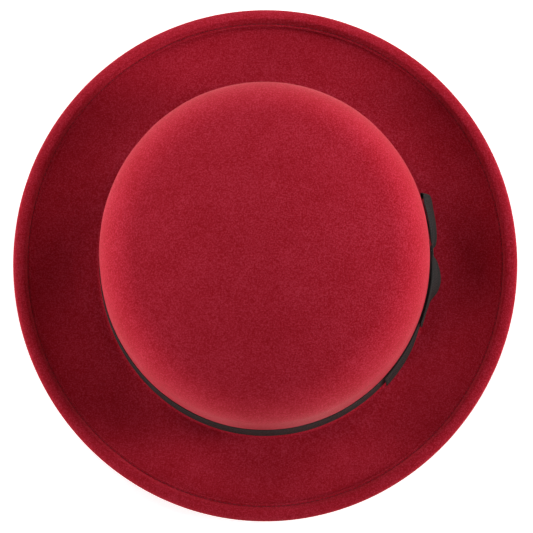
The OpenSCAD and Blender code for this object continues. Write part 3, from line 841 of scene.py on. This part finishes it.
def make_inside():
    """The sweatband, with its stitches and tab, and the lining."""
    lining_out = FELT_T + LAY_GAP
    lining_in = lining_out + LINING_T
    sweat_out = lining_in + LAY_GAP
    sweat_in = sweat_out + SWEAT_T
    low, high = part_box("sweatband")
    profile = ribbon_profile(-sweat_in, -sweat_out, low.z, high.z)
    sweat = dress(ring_piece("sweatband_cloth", profile), SWEAT_RIBBON, "sweatband", "sweatband")

    dress(sweat_stitches(sweat_in), BLACK_THREAD, "black_thread", "sweatband_thread")
    tab = dress(join_tab(sweat_in), SWEAT_RIBBON, "sweatband", "sweatband_join_tab")
    low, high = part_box("sweatband_join_tab")

    low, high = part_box("lining_side")
    profile = ribbon_profile(-lining_in, -lining_out, low.z, high.z, steps=20)
    side = dress(ring_piece("lining_side_cloth", profile), SATIN, "lining", "lining_side")
    tip = dress(lining_tip(lining_out, lining_in), SATIN, "lining", "lining_tip")
    low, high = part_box("lining_tip")
    dress(seam_cord(lining_out), SATIN, "lining_cord", "lining_seam_cord")


def sweat_stitches(sweat_in):
    """A round of stitches near the sweatband's lower edge."""
    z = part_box("sweatband")[0].z + 2.5 * MM
    count = 150
    lines = []
    for k in range(count):
        middle = 2 * math.pi * (k + 0.5) / count
        parts = np.linspace(-1, 1, 7)
        az = middle + math.pi / count * 0.72 * parts
        inset = sweat_in + THREAD_R * 0.5 - 0.45 * MM * np.abs(parts) ** 4
        lines.append([on_curve(wall_r(i, z), z, a) for i, a in zip(inset, az)])
    return tubes("sweatband_stitches", lines, THREAD_R * 0.85)


def join_tab(sweat_in):
    """The folded tab over the sweatband's join, at the back."""
    low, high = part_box("sweatband_join_tab")
    half = math.asin(min(1, high.x / (CROWN_RX + CROWN_EXTRA)))
    rows, columns = 25, 15
    points = []
    for side in (0, 1):
        for i in range(rows):
            across = -1 + 2 * i / (rows - 1)
            az = math.pi / 2 + half * across * (1 if side == 0 else -1)
            puff = 0.35 * MM * (1 - across**4)
            inset = sweat_in + LAY_GAP + (SWEAT_T * 0.55 + puff if side else 0)
            for z in np.linspace(low.z, high.z, columns):
                points.append(on_curve(wall_r(inset, z), z, az))
    faces = grid_faces(2 * rows, columns, wrap_rows=True, wrap_columns=False)
    for edge in (0, columns - 1):
        loop = [i * columns + edge for i in range(2 * rows)]
        faces.append(tuple(loop if edge else reversed(loop)))
    points = np.array([np.ravel(p) for p in points])
    uvs = []
    for face in faces:
        for k in face:
            uvs.append((points[k][2], points[k][0] + 0.1))
    return new_object("join_tab", points, faces, uvs)


def lining_tip(lining_out, lining_in):
    """The lining's top, gathered a little where it comes down to the seam."""
    az = round_the_hat(240)
    turns = np.concatenate([
        np.linspace(math.pi / 2 - 0.02, TIP_FROM, 16),
        np.linspace(TIP_FROM, WALL_LEAN, 24)[1:],
    ])

    def row(inset, turn):
        if turn >= TIP_FROM:
            return tip_at(inset, turn, az)
        gathers = 0.22 * MM * np.sin(az * 58 + 0.8 * np.sin(az * 7)) * smooth_step((1.0 - turn) / 0.8)
        return shoulder_at(inset, turn, az) * (1 - gathers / CROWN_RX)[:, None]

    slack = 0.25 * MM
    rings = [row(lining_out + slack, t) for t in turns]
    rings += [row(lining_in + slack, t) for t in turns[::-1]]
    return dome("lining_tip_cloth", rings, (0, 0, CROWN_H - lining_out), (0, 0, CROWN_H - lining_in))


def seam_cord(lining_out):
    """The covered cord in the seam between the lining's side and top."""
    low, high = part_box("lining_seam_cord")
    z = (low.z + high.z) / 2
    centre = wall_r(lining_out + SEAM_D / 2, z)
    turns = np.linspace(0, 2 * math.pi, 10, endpoint=False)
    profile = [(centre + SEAM_D / 2 * math.cos(t), z + SEAM_D / 2 * math.sin(t)) for t in turns]
    return ring_piece("lining_seam", profile, 480)


def label_outline(down, barrel, bore):
    """The label from its end: tape rolled round its thread, its raw end tucked in against the front."""
    half = LABEL_T / 2
    tuck = math.radians(-48)
    slit = math.radians(3)
    beside = math.asin(half / barrel)

    def arc(radius, start, end, count):
        return [(radius * math.cos(t), radius * math.sin(t)) for t in np.linspace(start, end, count)]

    rolled = arc(barrel, tuck, 1.5 * math.pi - beside, 30)
    levels = np.linspace(barrel * 1.1, down - half / 2, 22)
    behind = [(-half, -d) for d in levels]
    end = [(-half / 2, -down), (half / 2, -down)]
    in_front = [(half, -d) for d in levels[::-1]]
    root = arc(barrel, beside - math.pi / 2, tuck - slit, 4)
    hole = arc(bore, tuck - slit, tuck + slit - 2 * math.pi, 24)
    return [*rolled, *behind, *end, *in_front, *root, *hole]


def make_label():
    """The blank label: woven tape that hangs from its rolled edge on a thread."""
    low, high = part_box("size_label")
    hinge = frame["record"]["behaviour"]["joints"][0]["pos_m"]
    outline = label_outline(hinge[2] - low.z, high.z - hinge[2], LABEL_BORE_R)
    columns = 25
    across = np.linspace(low.y, high.y, columns)
    points = [(hinge[0] + x, y, hinge[2] + z) for y in across for x, z in outline]
    faces = grid_faces(columns, len(outline))
    first = list(range(len(outline)))
    last = [(columns - 1) * len(outline) + k for k in first]
    faces += [tuple(first[::-1]), tuple(last)]
    piece = dress(new_object("label_tape", points, faces), TAPE, "label", "size_label", body="label")


def label_thread_piece():
    """The thread that the label turns on, its two ends sewn into the sweatband."""
    low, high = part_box("label_thread")
    hinge = frame["record"]["behaviour"]["joints"][0]["pos_m"]
    side = high.y - THREAD_R
    bend = 0.7 * MM
    line = [(low.x, -side), (hinge[0] - bend, -side)]
    for turn in np.radians([30, 60, 90]):
        line.append((hinge[0] - bend + bend * math.sin(turn), -side + bend * (1 - math.cos(turn))))
    line += [(x, -y) for x, y in line[::-1]]
    return tubes("label_thread_line", [[(x, y, hinge[2]) for x, y in line]], THREAD_R, sides=12)


make_felt_and_hem()
make_band()
make_bow()
make_inside()
make_label()
dress(label_thread_piece(), BLACK_THREAD, "black_thread", "label_thread")

for node, look in (("brim_wire", STEEL), ("wire_sleeve", BRASS)):
    held = frame["nodes"][node]
    held.data.materials.clear()
    held.data.materials.append(look)


# ---------------------------------------------------------------- floor and light
def make_floor():
    """A pale floor that gives a little light of its own, as a lit studio sweep does."""
    half = 6.0
    points = [(-half, -half, 0), (half, -half, 0), (half, half, 0), (-half, half, 0)]
    floor = new_object("floor", points, [(0, 1, 2, 3)])
    floor.location.z = -0.2 * MM
    made, shader = material("pale_floor", (0.9, 0.9, 0.9), 0.9)[:2]
    shader.inputs["Emission Color"].default_value = (1, 1, 1, 1)
    shader.inputs["Emission Strength"].default_value = 0.68
    floor.data.materials.append(made)


# Azimuth (0 at the wearer's left, 90 at the back) and elevation that each light shines from, in degrees,
# then its size in metres and its power in watts
LIGHTS = {
    "left_low": (0, 8, 0.5, 10.1),
    "right_low": (180, 8, 0.5, 20.6),
    "left": (0, 20, 0.9, 22.7),
    "back_left": (45, 20, 0.9, 16.7),
    "back": (90, 20, 0.9, 9.2),
    "back_right": (135, 20, 0.9, 18.6),
    "front_right": (225, 20, 0.9, 16.1),
    "front_left": (315, 20, 0.9, 5.3),
}
LIGHT_DISTANCE = 2.0


def make_lights():
    """Soft round lights in a ring about the hat, most of them behind it and at its sides."""
    for name, (azimuth, elevation, size, power) in LIGHTS.items():
        data = bpy.data.lights.new(name, "AREA")
        data.shape = "DISK"
        data.size = size
        data.energy = power
        light = bpy.data.objects.new(name, data)
        bpy.context.scene.collection.objects.link(light)
        a, e = math.radians(azimuth), math.radians(elevation)
        towards = Vector((math.cos(a) * math.cos(e), math.sin(a) * math.cos(e), math.sin(e)))
        light.location = towards * LIGHT_DISTANCE
        light.rotation_mode = "QUATERNION"
        light.rotation_quaternion = towards.to_track_quat("Z", "Y")
    world = bpy.data.worlds.new("studio")
    world.use_nodes = True
    world.node_tree.nodes["Background"].inputs["Color"].default_value = (1, 1, 1, 1)
    world.node_tree.nodes["Background"].inputs["Strength"].default_value = 0.0
    bpy.context.scene.world = world
    bpy.context.scene.view_settings.view_transform = "Standard"


make_floor()
make_lights()
